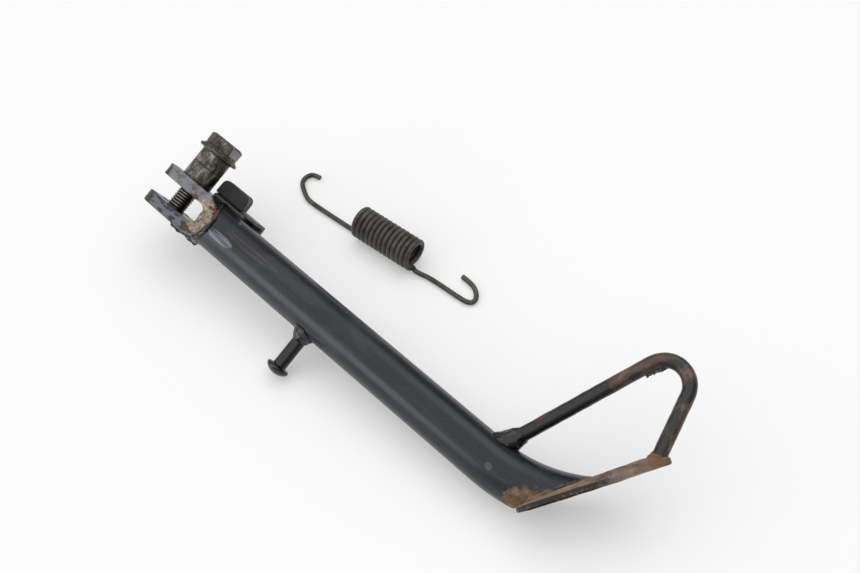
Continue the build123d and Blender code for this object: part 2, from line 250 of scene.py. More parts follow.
def make_worn_edges():
    """Mask of outward edges and corners, broken up so that the wear isn't even."""
    sockets = [("Vector", "NodeSocketVector", None), ("Grain", "NodeSocketFloat", 300.0),
               ("Level", "NodeSocketFloat", 0.56)]
    group, start, end = new_group("worn_edges", sockets, [("Mask", "NodeSocketFloat")])
    link = group.links.new
    shape = put(group, "ShaderNodeNewGeometry")
    noise = put(group, "ShaderNodeTexNoise", Detail=5.0, Roughness=0.6)
    link(start.outputs["Vector"], noise.inputs["Vector"])
    link(start.outputs["Grain"], noise.inputs["Scale"])
    sway = put(group, "ShaderNodeMath", operation="MULTIPLY_ADD")
    link(noise.outputs["Fac"], sway.inputs[0])
    sway.inputs[1].default_value = 0.16
    link(shape.outputs["Pointiness"], sway.inputs[2])
    top = put(group, "ShaderNodeMath", operation="ADD")
    link(start.outputs["Level"], top.inputs[0])
    top.inputs[1].default_value = 0.06
    edge = put(group, "ShaderNodeMapRange")
    link(sway.outputs[0], edge.inputs["Value"])
    link(start.outputs["Level"], edge.inputs["From Min"])
    link(top.outputs[0], edge.inputs["From Max"])
    link(edge.outputs["Result"], end.inputs["Mask"])
    return group


effects = {"patch": make_ragged_patch(), "mottle": make_mottle(), "specks": make_specks(),
           "edges": make_worn_edges()}


class Finish:
    """A surface built up in layers, each laid over the last through a mask.

    Its places are in the leg's own axes: x down the leg, y along the bolt, z the upper side. A
    surface that isn't on the leg keeps the frame's axes."""

    def __init__(self, name, colour, roughness, metallic=0.0, along_leg=True, **plain):
        self.material = bpy.data.materials.new(name)
        self.material.use_nodes = True
        self.tree = self.material.node_tree
        self.shader = self.tree.nodes["Principled BSDF"]
        for key, value in plain.items():
            self.shader.inputs[key.replace("_", " ")].default_value = value
        self.point = put(self.tree, "ShaderNodeTexCoord").outputs["Object"]
        if along_leg:
            turn = put(self.tree, "ShaderNodeMapping", vector_type="TEXTURE", Rotation=(roll, pitch, 0))
            self.tree.links.new(self.point, turn.inputs["Vector"])
            self.point = turn.outputs["Vector"]
        self.layers = {"Base Color": colour, "Roughness": roughness, "Metallic": metallic}
        self.normal = None

    def effect(self, kind, **inputs):
        """One of the shared effect groups, fed with this surface's own place and values."""
        made = put(self.tree, "ShaderNodeGroup", node_tree=effects[kind])
        place = inputs.pop("Vector", None)
        self.tree.links.new(self.point if place is None else place, made.inputs["Vector"])
        for key, value in inputs.items():
            feed(self.tree, value, made.inputs[key])
        return made

    def mask(self, kind, **inputs):
        """The mask of a shared effect."""
        return self.effect(kind, **inputs).outputs["Mask"]

    def tones(self, grain, dark, middle, light, place=None):
        """Three tones of one surface, broken up by noise: their colour and their height."""
        made = self.effect("mottle", Vector=place, Grain=grain, Dark=dark, Middle=middle, Light=light)
        return made.outputs["Color"], made.outputs["Height"]

    def along(self, direction, stretch):
        """The place turned about the leg's upper side and drawn out along that direction."""
        turn = put(self.tree, "ShaderNodeMapping", vector_type="TEXTURE", Rotation=(0, 0, direction),
                   Scale=(stretch, 1, 1))
        self.tree.links.new(self.point, turn.inputs["Vector"])
        return turn.outputs["Vector"]

    def patch(self, centre, reach, ragged=0.8, grain=300.0, direction=0.0, stretch=1.0):
        """Mask of a round or long spot, at a place given in millimetres along the leg."""
        x, y, z = (MM * value for value in centre)
        lengthwise = x * cos(direction) + y * sin(direction)
        crosswise = y * cos(direction) - x * sin(direction)
        return self.mask("patch", Vector=self.along(direction, stretch), Reach=MM * reach, Ragged=ragged,
                         Centre=(lengthwise / stretch, crosswise, z), Grain=grain)

    def height_over(self, normal, origin):
        """Height over a flat face, in metres; the face's point is given in millimetres."""
        dot = put(self.tree, "ShaderNodeVectorMath", operation="DOT_PRODUCT")
        self.tree.links.new(self.point, dot.inputs[0])
        dot.inputs[1].default_value = normal
        return self.math("SUBTRACT", dot.outputs["Value"], MM * Vector(normal).dot(Vector(origin)))

    def stretched(self, scale, detail=4.0):
        """Noise whose size is set apart along each axis, for scratches and draw lines."""
        size = put(self.tree, "ShaderNodeMapping", Scale=scale)
        self.tree.links.new(self.point, size.inputs["Vector"])
        noise = put(self.tree, "ShaderNodeTexNoise", Scale=1.0, Detail=detail, Roughness=0.6)
        self.tree.links.new(size.outputs["Vector"], noise.inputs["Vector"])
        return noise.outputs["Fac"]

    def even_noise(self, size, detail=4.0):
        """Noise of one size along every axis."""
        return self.stretched((size, size, size), detail)

    def ramp(self, source, low, high, to_low=0.0, to_high=1.0):
        """A smooth step of a value between two levels."""
        step = put(self.tree, "ShaderNodeMapRange", interpolation_type="SMOOTHSTEP", From_Min=low,
                   From_Max=high, To_Min=to_low, To_Max=to_high)
        feed(self.tree, source, step.inputs["Value"])
        return step.outputs["Result"]

    def math(self, operation, first, second, third=None):
        """A math node on sockets or plain values."""
        made = put(self.tree, "ShaderNodeMath", operation=operation)
        for socket, value in zip(made.inputs, (first, second, third)):
            if value is not None:
                feed(self.tree, value, socket)
        return made.outputs[0]

    def both(self, first, second):
        """Where two masks overlap, or one mask thinned by a share."""
        return self.math("MULTIPLY", first, second)

    def axis(self, name):
        """The place along one axis of the leg, in metres."""
        parts = put(self.tree, "ShaderNodeSeparateXYZ")
        self.tree.links.new(self.point, parts.inputs[0])
        return parts.outputs[name]

    def over(self, mask, colour=None, roughness=None, metallic=None, share=None):
        """Lays a colour, roughness or metalness over what is there, by the mask and a share of it."""
        if share is not None:
            mask = self.both(mask, share)
        for key, value in (("Base Color", colour), ("Roughness", roughness), ("Metallic", metallic)):
            if value is None:
                continue
            kind = "RGBA" if key == "Base Color" else "FLOAT"
            mix = put(self.tree, "ShaderNodeMix", data_type=kind)
            sockets = (6, 7, 2) if kind == "RGBA" else (2, 3, 0)
            self.tree.links.new(mask, mix.inputs[0])
            feed(self.tree, self.layers[key], mix.inputs[sockets[0]])
            feed(self.tree, value, mix.inputs[sockets[1]])
            self.layers[key] = mix.outputs[sockets[2]]

    def bump(self, height, depth, strength):
        """Adds relief of a depth given in millimetres."""
        made = put(self.tree, "ShaderNodeBump", Strength=strength, Distance=MM * depth)
        feed(self.tree, height, made.inputs["Height"])
        if self.normal is not None:
            self.tree.links.new(self.normal, made.inputs["Normal"])
        self.normal = made.outputs["Normal"]

    def done(self):
        """Plugs the finished layers into the shader."""
        for key, value in self.layers.items():
            feed(self.tree, value, self.shader.inputs[key])
        if self.normal is not None:
            self.tree.links.new(self.normal, self.shader.inputs["Normal"])
        return self.material


def rust(finish, grain=260.0):
    """Brown rust: its colour and its height."""
    return finish.tones(grain, (0.030, 0.014, 0.008), (0.075, 0.033, 0.018), (0.120, 0.058, 0.032))


def paint(piece, material):
    """Gives a piece one material all over."""
    piece.data.materials.clear()
    piece.data.materials.append(material)
    for face in piece.data.polygons:
        face.material_index = 0


SOLE_ANGLE, SOLE_TWIST = radians(56.8), radians(6.0)
SOLE_HEEL = (279.0, -7.1, 0.0)
SOLE_UP = (-sin(SOLE_ANGLE) * cos(SOLE_TWIST), cos(SOLE_ANGLE) * cos(SOLE_TWIST), sin(SOLE_TWIST))

tube_paint = Finish("satin_black_paint", (0.0042, 0.0047, 0.0058), 0.24, Specular_IOR_Level=0.42,
                    Specular_Tint=(0.90, 0.96, 1.0, 1))
clouds = tube_paint.tones(28.0, (0, 0, 0), (0.5, 0.5, 0.5), (1, 1, 1))[1]
tube_paint.over(tube_paint.ramp(clouds, 0.35, 0.7), roughness=0.30)
handling = tube_paint.ramp(tube_paint.stretched((14, 420, 420)), 0.56, 0.72, 0.0, 0.6)
tube_paint.over(handling, colour=(0.022, 0.024, 0.028), roughness=0.46)
smears = tube_paint.ramp(tube_paint.stretched((22, 60, 60), 6.0), 0.52, 0.66, 0.0, 0.55)
tube_paint.over(smears, colour=(0.030, 0.033, 0.037), roughness=0.5)
dust = tube_paint.mask("specks", Grain=950.0, Share=0.20)
tube_paint.over(dust, colour=(0.11, 0.115, 0.12), roughness=0.8, share=0.3)
streaks = tube_paint.ramp(tube_paint.stretched((45, 1100, 1100), 3.0), 0.40, 0.58)
scuff = tube_paint.patch((45.0, -2.0, 13.6), 3.0, 0.9, stretch=3.6)
tube_paint.over(tube_paint.both(scuff, streaks), colour=(0.13, 0.137, 0.148), roughness=0.22)
brown_smear = tube_paint.patch((66.0, 4.0, 13.4), 2.6, 1.4, stretch=9.0)
tube_paint.over(tube_paint.both(brown_smear, streaks), colour=(0.085, 0.070, 0.055), roughness=0.4,
                share=0.45)
orange_spot = tube_paint.patch((46.2, 11.6, 7.4), 1.2, 0.5)
tube_paint.over(orange_spot, colour=(0.16, 0.075, 0.025), roughness=0.7)
grey_spot = tube_paint.patch((253.0, -1.0, 13.0), 2.2, 1.3, 500)
tube_paint.over(grey_spot, colour=(0.045, 0.048, 0.05), roughness=0.5)
heel_rust, heel_height = tube_paint.tones(260.0, (0.050, 0.026, 0.014), (0.115, 0.062, 0.032),
                                           (0.20, 0.130, 0.075))
heel_mask = tube_paint.patch((279.0, -5.0, 6.0), 13.5, 1.1, 180)
tube_paint.over(heel_mask, colour=heel_rust, roughness=0.78)
over_sole = tube_paint.height_over(SOLE_UP, SOLE_HEEL)
cut_edge = tube_paint.math("MULTIPLY_ADD", tube_paint.even_noise(300), MM * -7.0, over_sole)
tube_paint.over(tube_paint.ramp(cut_edge, MM * 3.4, MM * 1.2), colour=heel_rust, roughness=0.8)
yellow_spot = tube_paint.patch((262.5, -13.3, -2.5), 1.6, 0.8)
tube_paint.over(yellow_spot, colour=(0.20, 0.17, 0.02), roughness=0.7)
tube_paint.bump(tube_paint.even_noise(300, 3.0), 0.04, 0.35)
tube_paint.bump(tube_paint.both(heel_height, heel_mask), 0.35, 0.8)
black_paint = tube_paint.done()

paint(frame["nodes"]["leg_tube"], black_paint)

# ---------------------------------------------------------------------------------------------
# Fork: a thick steel plate bent into a U, its back welded to the tube. The paint is rubbed off
# the ears' upper edges and off the back of the U, where bare steel has browned.
# ---------------------------------------------------------------------------------------------


def only(piece):
    """Makes one piece active and selected alone."""
    bpy.ops.object.select_all(action="DESELECT")
    piece.select_set(True)
    bpy.context.view_layer.objects.active = piece


def modify(piece, kind, **settings):
    """Adds a modifier, sets it and applies it."""
    only(piece)
    made = piece.modifiers.new(kind.lower(), kind)
    for key, value in settings.items():
        setattr(made, key, value)
    bpy.ops.object.modifier_apply(modifier=made.name)


def settle(piece, place):
    """Puts a piece modelled at the origin where it belongs and leaves the place in its mesh."""
    only(piece)
    piece.matrix_world = place
    bpy.ops.object.transform_apply(location=True, rotation=True, scale=True)


def shift(piece, x, y, z):
    """Moves a finished piece a little along the leg's axes, in millimetres."""
    settle(piece, lay @ Matrix.Translation((MM * x, MM * y, MM * z)) @ lay.inverted())


def roughen(piece, size, depth):
    """Moves a piece's skin in and out by smooth noise; size and depth in millimetres."""
    noise = bpy.data.textures.new(piece.name + "_lumps", "CLOUDS")
    noise.noise_scale = MM * size
    noise.noise_depth = 2
    modify(piece, "DISPLACE", texture=noise, texture_coords="LOCAL", strength=MM * depth, mid_level=0.5)


def smooth_shaded(piece, angle):
    """Smooth shading with creases kept."""
    only(piece)
    bpy.ops.object.shade_smooth_by_angle(angle=radians(angle))


def worn_copy(name, node, grid, soften, *lumps):
    """A CAD piece's shape with its edges worn round and its skin uneven; sizes in millimetres."""
    source = frame["nodes"][node]
    piece = source.copy()
    piece.data = source.data.copy()
    piece.name = name
    piece.parent = None
    piece.matrix_world = Matrix.Identity(4)
    bpy.context.scene.collection.objects.link(piece)
    modify(piece, "WELD", merge_threshold=0.01 * MM)
    modify(piece, "REMESH", mode="VOXEL", voxel_size=MM * grid)
    modify(piece, "SMOOTH", factor=0.5, iterations=soften)
    for size, depth in lumps:
        roughen(piece, size, depth)
    only(piece)
    bpy.ops.object.shade_smooth()
    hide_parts(node)
    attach(piece, "stand")
    return piece


FORK_TOP = 14.0

fork = worn_copy("fork_plate", "fork", 0.42, 6, (9.0, 0.35), (1.6, 0.12))
fork_steel = Finish("rubbed_fork_paint", (0.0075, 0.008, 0.009), 0.30)
across_fork = fork_steel.axis("Y")
old_steel = fork_steel.tones(150.0, (0.060, 0.061, 0.063), (0.145, 0.149, 0.155), (0.205, 0.210, 0.216))[0]
upper_face = fork_steel.ramp(fork_steel.axis("Z"), MM * (FORK_TOP - 2.2), MM * (FORK_TOP - 0.4))
upper_ear = fork_steel.both(upper_face, fork_steel.ramp(across_fork, 0.002, 0.006))
fork_steel.over(upper_ear, colour=old_steel, roughness=0.38, metallic=0.2)
rubbed = fork_steel.ramp(fork_steel.stretched((130, 260, 260), 6.0), 0.44, 0.50)
lower_ear = fork_steel.both(upper_face, fork_steel.ramp(across_fork, -0.004, -0.006))
fork_steel.over(fork_steel.both(lower_ear, rubbed), colour=(0.095, 0.105, 0.118), roughness=0.34,
                metallic=0.2)
back = fork_steel.patch((27.5, 1.0, FORK_TOP), 11.0, 0.7, 260)
back_steel, back_height = fork_steel.tones(420.0, (0.055, 0.032, 0.020), (0.22, 0.18, 0.135),
                                            (0.46, 0.42, 0.35))
fork_steel.over(back, colour=back_steel, roughness=0.40, metallic=0.45)
fork_rust = rust(fork_steel)[0]
for place, reach in (((14.5, 7.0, 13.6), 1.5), ((23.5, -10.0, 13.5), 1.3), ((28.5, 8.0, 13.5), 1.1)):
    rust_spot = fork_steel.patch(place, reach, 1.5, 420, stretch=2.6)
    fork_steel.over(rust_spot, colour=fork_rust, roughness=0.7, metallic=0.1)
painted_tip = fork_steel.patch((-14.5, 9.0, 9.0), 7.0, 0.6)
fork_steel.over(painted_tip, colour=(0.007, 0.007, 0.007), roughness=0.32, metallic=0.0)
olive = fork_steel.tones(350.0, (0.012, 0.011, 0.008), (0.040, 0.034, 0.022), (0.075, 0.062, 0.042))[0]
fork_steel.over(fork_steel.patch((-13.0, -9.2, 13.0), 6.5, 0.9, 420), colour=olive, roughness=0.5)
fork_edges = fork_steel.mask("edges", Grain=420.0, Level=0.64)
fork_steel.over(fork_edges, colour=(0.22, 0.20, 0.18), roughness=0.4, metallic=0.6, share=0.6)
fork_steel.bump(back_height, 0.15, 0.6)
paint(fork, fork_steel.done())

# ---------------------------------------------------------------------------------------------
# Weld beads: puddled weld metal under thick gloss paint, at the tube's mitre, along the threaded
# ear, round the spring pin, at both ends of the foot loop, under the stop and in the sole.
# ---------------------------------------------------------------------------------------------
gloss = Finish("gloss_over_weld", (0.0035, 0.0038, 0.0045), 0.13, Specular_IOR_Level=0.45)
gloss_dust = gloss.mask("specks", Grain=900.0, Share=0.1)
gloss.over(gloss_dust, colour=(0.10, 0.10, 0.10), roughness=0.7, share=0.2)
gloss.over(gloss.ramp(gloss.even_noise(240), 0.5, 0.7), roughness=0.26)
rubbed_weld = gloss.tones(420.0, (0.050, 0.032, 0.022), (0.19, 0.155, 0.115), (0.42, 0.38, 0.31))[0]
behind_fork = gloss.patch((27.0, 0.5, 14.6), 7.5, 0.8, 260)
gloss.over(behind_fork, colour=rubbed_weld, roughness=0.40, metallic=0.4)
gloss.over(gloss.patch((34.0, 6.5, 12.5), 3.0, 1.3, 420), colour=rust(gloss, 420.0)[0], roughness=0.7)
sole_rust = gloss.tones(260.0, (0.050, 0.026, 0.014), (0.110, 0.062, 0.035), (0.19, 0.130, 0.080))[0]
gloss.over(gloss.patch((283.0, -3.0, 8.0), 17.0, 0.7, 200), colour=sole_rust, roughness=0.7)
gloss.bump(gloss.even_noise(500, 2.0), 0.04, 0.4)
weld_gloss = gloss.done()

weld_lumps = {"fork_weld": (4.0, 1.1), "ear_side_weld": (4.2, 3.6), "stop_angle_weld": (3.0, 1.0),
              "spring_pin_weld": (5.0, 1.8), "loop_root_weld": (3.6, 1.8), "sole_weld": (4.0, 0.8)}
beads = {}
for node, lumps in weld_lumps.items():
    bead = worn_copy(node + "_bead", node, 0.32, 14, lumps)
    modify(bead, "SMOOTH", factor=0.5, iterations=6)
    paint(bead, weld_gloss)
    beads[node] = bead
shift(beads["ear_side_weld"], 8.0, -1.0, 1.5)

# ---------------------------------------------------------------------------------------------
# Pivot bolt: a forged shoulder bolt with a flanged hexagon head, half drawn out of the fork. Dark
# stained steel, rubbed bright on the shoulder. The thread is oiled near black, with painted shade
# between its turns and painted glints on its crests.
# ---------------------------------------------------------------------------------------------
FORK_HALF = 13.6
THREAD_R, THREAD_DEPTH, THREAD_PITCH = 6.0, 1.0, 1.75
THREAD_POINT, THREAD_TOP = -12.6, 9.0
SHOULDER_R, SHOULDER_LENGTH, SHOULDER_ENGAGED = 9.7, 22.4, 3.0
SHOULDER_LOW = FORK_HALF - SHOULDER_ENGAGED
RELIEF_R = 5.2
FLANGE_R, FLANGE_HEIGHT = 13.0, 4.0
FLANGE_LOW = SHOULDER_LOW + SHOULDER_LENGTH
GROOVE_LOW, GROOVE_DEPTH = FLANGE_LOW - 9.4, 0.25
HEX_HEIGHT, HEX_ACROSS_FLATS = 7.0, 19.0
HEX_LOW, HEX_TOP = FLANGE_LOW + FLANGE_HEIGHT, FLANGE_LOW + FLANGE_HEIGHT + HEX_HEIGHT
HEX_CORNER_R = HEX_ACROSS_FLATS / 2 / cos(radians(30))
SPOT_FACE, BORE_ROOM, SHOULDER_ROOM, REAMER_REACH = -6.45, 0.12, 0.16, 34.0
along_bolt = lay @ Matrix.Rotation(radians(-90), 4, "X")


def turned(name, stations):
    """A lathe-turned solid: a disc drawn up z through (height, radius) stations, in millimetres."""
    height, radius = stations[0]
    bpy.ops.mesh.primitive_circle_add(vertices=72, radius=MM * radius, fill_type="NGON",
                                      location=(0, 0, MM * height))
    piece = bpy.context.object
    piece.name = name
    bpy.ops.object.transform_apply(location=True, rotation=True, scale=True)
    bpy.ops.object.mode_set(mode="EDIT")
    bpy.ops.mesh.select_all(action="SELECT")
    for next_height, next_radius in stations[1:]:
        rise = {"value": (0, 0, MM * (next_height - height))}
        bpy.ops.mesh.extrude_region_move(TRANSFORM_OT_translate=rise)
        grow = next_radius / radius
        bpy.ops.transform.resize(value=(grow, grow, 1))
        height, radius = next_height, next_radius
    bpy.ops.mesh.select_all(action="SELECT")
    bpy.ops.mesh.normals_make_consistent(inside=False)
    bpy.ops.object.mode_set(mode="OBJECT")
    return piece


def threaded(name, low, high):
    """A closed screw thread along z between two heights, wound from one turn of its outline."""
    bpy.ops.mesh.primitive_plane_add(size=MM, location=(MM * (THREAD_R - THREAD_DEPTH), 0, MM * low))
    piece = bpy.context.object
    piece.name = name
    bpy.ops.object.transform_apply(location=True, rotation=True, scale=True)
    bpy.ops.object.mode_set(mode="EDIT")
    bpy.ops.mesh.select_all(action="SELECT")
    bpy.ops.mesh.merge(type="CENTER")
    for out, share in ((0, 0.12), (THREAD_DEPTH, 0.33), (0, 0.12), (-THREAD_DEPTH, 0.33), (0, 0.10)):
        step = {"value": (MM * out, 0, MM * share * THREAD_PITCH)}
        bpy.ops.mesh.extrude_region_move(TRANSFORM_OT_translate=step)
    bpy.ops.object.mode_set(mode="OBJECT")
    turns = round((high - low) / THREAD_PITCH)
    modify(piece, "SCREW", angle=2 * pi, screw_offset=MM * THREAD_PITCH, iterations=turns, steps=36,
           render_steps=36, use_merge_vertices=True, merge_threshold=MM * 0.01, use_normal_calculate=True)
    bpy.ops.object.mode_set(mode="EDIT")
    bpy.ops.mesh.select_all(action="SELECT")
    bpy.ops.mesh.remove_doubles(threshold=MM * 0.01)
    bpy.ops.mesh.select_all(action="DESELECT")
    bpy.ops.mesh.select_mode(type="EDGE")
    bpy.ops.mesh.select_non_manifold()
    bpy.ops.mesh.edge_face_add()
    bpy.ops.mesh.select_all(action="SELECT")
    bpy.ops.mesh.normals_make_consistent(inside=False)
    bpy.ops.object.mode_set(mode="OBJECT")
    return piece


def joined(name, *parts):
    """Several closed shells kept as one piece."""
    bpy.ops.object.select_all(action="DESELECT")
    for part in parts:
        part.select_set(True)
    bpy.context.view_layer.objects.active = parts[0]
    bpy.ops.object.join()
    parts[0].name = name
    return parts[0]


reamer = turned("reamer", [
    (-REAMER_REACH, THREAD_R + BORE_ROOM), (SPOT_FACE, THREAD_R + BORE_ROOM),
    (SPOT_FACE + 0.01, SHOULDER_R + SHOULDER_ROOM), (REAMER_REACH, SHOULDER_R + SHOULDER_ROOM)])
settle(reamer, along_bolt)
for bored in (fork, beads["ear_side_weld"]):
    modify(bored, "BOOLEAN", object=reamer, operation="DIFFERENCE", solver="EXACT")
    smooth_shaded(bored, 40)
bpy.data.objects.remove(reamer)

thread = threaded("bolt_thread", THREAD_POINT + 0.6, THREAD_TOP)
shank = turned("bolt_shank", [
    (THREAD_POINT, 4.6), (THREAD_POINT + 0.9, RELIEF_R), (SHOULDER_LOW - 2.0, RELIEF_R),
    (SHOULDER_LOW - 0.01, RELIEF_R), (SHOULDER_LOW, SHOULDER_R - 0.7), (SHOULDER_LOW + 0.7, SHOULDER_R),
    (GROOVE_LOW, SHOULDER_R), (GROOVE_LOW + 0.2, SHOULDER_R - GROOVE_DEPTH),
    (GROOVE_LOW + 0.7, SHOULDER_R - GROOVE_DEPTH), (GROOVE_LOW + 0.9, SHOULDER_R),
    (FLANGE_LOW - 0.4, SHOULDER_R), (FLANGE_LOW, SHOULDER_R + 0.4), (FLANGE_LOW + 0.1, FLANGE_R - 0.7),
    (FLANGE_LOW + 0.8, FLANGE_R), (FLANGE_LOW + 1.4, FLANGE_R), (FLANGE_LOW + 2.2, FLANGE_R - 0.5),
    (FLANGE_LOW + 2.4, FLANGE_R - 1.4), (HEX_LOW + 0.1, 10.4), (HEX_LOW + 0.3, 9.0)])
modify(shank, "BEVEL", width=MM * 0.12, segments=2, limit_method="ANGLE", angle_limit=radians(28))
bpy.ops.mesh.primitive_cylinder_add(vertices=6, radius=MM * HEX_CORNER_R, depth=MM * HEX_HEIGHT,
                                    location=(0, 0, MM * (HEX_LOW + HEX_TOP) / 2))
hexagon = bpy.context.object
hexagon.name = "bolt_hexagon"
bpy.ops.object.transform_apply(location=True, rotation=True, scale=True)
crown = turned("bolt_crown", [
    (HEX_LOW - 1.0, HEX_CORNER_R + 0.5), (HEX_TOP - 1.3, HEX_CORNER_R + 0.5), (HEX_TOP, 9.0)])
modify(hexagon, "BOOLEAN", object=crown, operation="INTERSECT", solver="EXACT")
bpy.data.objects.remove(crown)
modify(hexagon, "BEVEL", width=MM * 0.7, segments=4, limit_method="ANGLE", angle_limit=radians(28))
bolt = joined("shoulder_bolt", shank, thread, hexagon)
settle(bolt, along_bolt)
smooth_shaded(bolt, 32)

bolt_steel = Finish("stained_bolt_steel", (0.1, 0.1, 0.1), 0.42, 0.85)
stain, stain_height = bolt_steel.tones(210.0, (0.040, 0.036, 0.029), (0.074, 0.068, 0.057),
                                       (0.120, 0.112, 0.097))
bolt_steel.layers["Base Color"] = stain
up_bolt = bolt_steel.axis("Y")
bright = bolt_steel.ramp(bolt_steel.stretched((260, 130, 260), 8.0), 0.48, 0.74)
above_seat = bolt_steel.ramp(up_bolt, MM * (SHOULDER_LOW + 1.4), MM * (SHOULDER_LOW + 4.4))
below_flange = bolt_steel.ramp(up_bolt, MM * (FLANGE_LOW + 1.0), MM * (FLANGE_LOW - 2.0))
shoulder_rub = bolt_steel.both(bright, bolt_steel.both(above_seat, below_flange))
bolt_steel.over(shoulder_rub, colour=(0.42, 0.395, 0.35), roughness=0.30, metallic=1.0)
groove = bolt_steel.both(bolt_steel.ramp(up_bolt, MM * (GROOVE_LOW - 1.0), MM * GROOVE_LOW),
                         bolt_steel.ramp(up_bolt, MM * (GROOVE_LOW + 1.6), MM * (GROOVE_LOW + 0.6)))
bolt_steel.over(groove, colour=(0.030, 0.016, 0.010), roughness=0.8, metallic=0.2, share=0.7)
# The thread is painted near black: the oiled steel's own dark, with painted shade between the turns.
thread_only = bolt_steel.ramp(up_bolt, MM * (SHOULDER_LOW - 0.6), MM * (SHOULDER_LOW - 1.6))
bolt_steel.over(thread_only, colour=(0.024, 0.022, 0.020), roughness=0.35)
across, upward = bolt_steel.axis("X"), bolt_steel.axis("Z")
from_centre = bolt_steel.math("MULTIPLY_ADD", across, across, bolt_steel.math("MULTIPLY", upward, upward))
from_centre = bolt_steel.math("POWER", from_centre, 0.5)
# Painted glints: the thread's crests are painted light steel.
crest_glint = bolt_steel.ramp(from_centre, MM * (THREAD_R - 0.65), MM * (THREAD_R - 0.15))
bolt_steel.over(bolt_steel.both(thread_only, crest_glint), colour=(0.46, 0.445, 0.43), roughness=0.16,
                metallic=1.0)
chips = bolt_steel.mask("specks", Grain=420.0, Share=0.28)
bolt_steel.over(chips, colour=(0.33, 0.31, 0.28), roughness=0.28, metallic=1.0, share=0.6)
bolt_edges = bolt_steel.mask("edges", Grain=500.0, Level=0.62)
bolt_steel.over(bolt_edges, colour=(0.32, 0.30, 0.27), roughness=0.3, metallic=1.0, share=0.7)
bolt_steel.bump(stain_height, 0.12, 0.6)
paint(bolt, bolt_steel.done())
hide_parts("pivot_bolt")
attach(bolt, "bolt")

# ---------------------------------------------------------------------------------------------
# Stop: a small steel angle welded under the tube beside the fork, with a moulded rubber block on
# its outer leaf and a lip of the same rubber behind it. The angle's paint is rubbed off its edges.
# ---------------------------------------------------------------------------------------------
angle = worn_copy("stop_bracket", "stop_angle", 0.28, 12, (5.0, 0.3))
angle_paint = Finish("rubbed_angle_paint", (0.042, 0.042, 0.041), 0.40)
angle_edges = angle_paint.mask("edges", Grain=300.0, Level=0.58)
angle_paint.over(angle_edges, colour=(0.24, 0.24, 0.24), roughness=0.35, metallic=0.5)
angle_rust, angle_height = rust(angle_paint)
angle_paint.over(angle_paint.patch((30.0, 16.8, -4.0), 3.0, 1.6, 500), colour=angle_rust, roughness=0.8)
angle_paint.bump(angle_height, 0.1, 0.5)
paint(angle, angle_paint.done())

block = worn_copy("rubber_block", "rubber_stop", 0.45, 26, (6.0, 0.3))
shift(block, -0.6, -1.2, 0)
rubber = Finish("moulded_rubber", (0.012, 0.0125, 0.012), 0.62, Specular_IOR_Level=0.3)
chalky = rubber.tones(120.0, (0.009, 0.009, 0.009), (0.0135, 0.014, 0.0135), (0.021, 0.0215, 0.0205))[0]
rubber.layers["Base Color"] = chalky
rubber.over(rubber.mask("edges", Grain=60.0, Level=0.575), colour=(0.006, 0.006, 0.006), roughness=0.33)
rubber.bump(rubber.even_noise(1500, 2.0), 0.08, 0.6)
paint(block, rubber.done())

LIP_START, LIP_LENGTH, LIP_DEPTH, LIP_THICK = 12.6, 27.0, 13.0, 3.4
LIP_OFF_TUBE, LIP_DROP = 1.1, 8.6
bpy.ops.mesh.primitive_cube_add(size=1.0)
lip = bpy.context.object
lip.name = "rubber_lip"
lip.scale = (MM * LIP_LENGTH, MM * LIP_THICK, MM * LIP_DEPTH)
bpy.ops.object.transform_apply(location=True, rotation=True, scale=True)
modify(lip, "BEVEL", width=MM * 1.5, segments=6, limit_method="ANGLE")
lip_place = (MM * (LIP_START + LIP_LENGTH / 2), MM * (FORK_HALF + LIP_OFF_TUBE), MM * -LIP_DROP)
settle(lip, lay @ Matrix.Translation(lip_place))
modify(lip, "REMESH", mode="VOXEL", voxel_size=MM * 0.4)
modify(lip, "SMOOTH", factor=0.5, iterations=4)
roughen(lip, 4.0, 0.3)
only(lip)
bpy.ops.object.shade_smooth()
lip_grey = Finish("rubbed_lip_rubber", (0.030, 0.031, 0.031), 0.42)
lip_grey.over(lip_grey.mask("edges", Grain=200.0, Level=0.60), colour=(0.10, 0.10, 0.10), roughness=0.35)
lip_grey.bump(lip_grey.even_noise(700, 3.0), 0.08, 0.5)
paint(lip, lip_grey.done())
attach(lip, "stand")

# ---------------------------------------------------------------------------------------------
# Spring pin: a mushroom-headed steel pin, turned in one piece and butt-welded to the tube's near
# side. It is painted with the tube, so its black is thick and glossy.
# ---------------------------------------------------------------------------------------------
PIN_X = 119.0
PIN_FOOT, PIN_HEAD = FORK_HALF - 2.0, FORK_HALF + 22.0
pin = turned("spring_post", [
    (PIN_FOOT, 4.0), (PIN_HEAD - 0.9, 4.0), (PIN_HEAD - 0.3, 4.3), (PIN_HEAD, 5.0), (PIN_HEAD + 0.15, 6.3),
    (PIN_HEAD + 0.6, 6.85), (PIN_HEAD + 1.2, 7.0), (PIN_HEAD + 1.9, 6.85), (PIN_HEAD + 2.8, 6.2),
    (PIN_HEAD + 3.7, 5.1), (PIN_HEAD + 4.5, 3.6), (PIN_HEAD + 5.0, 1.9), (PIN_HEAD + 5.2, 0.4)])
settle(pin, lay @ Matrix.Translation((MM * PIN_X, 0, 0)) @ Matrix.Rotation(radians(90), 4, "X"))
smooth_shaded(pin, 50)
pin_paint = Finish("pin_gloss_paint", (0.0035, 0.004, 0.005), 0.13, Specular_IOR_Level=0.45)
pin_dust = pin_paint.mask("specks", Grain=800.0, Share=0.22)
pin_paint.over(pin_dust, colour=(0.12, 0.12, 0.12), roughness=0.7, share=0.25)
pin_paint.over(pin_paint.ramp(pin_paint.even_noise(200), 0.50, 0.68), roughness=0.28)
pin_paint.bump(pin_paint.even_noise(420, 3.0), 0.05, 0.5)
paint(pin, pin_paint.done())
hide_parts("spring_pin")
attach(pin, "stand")
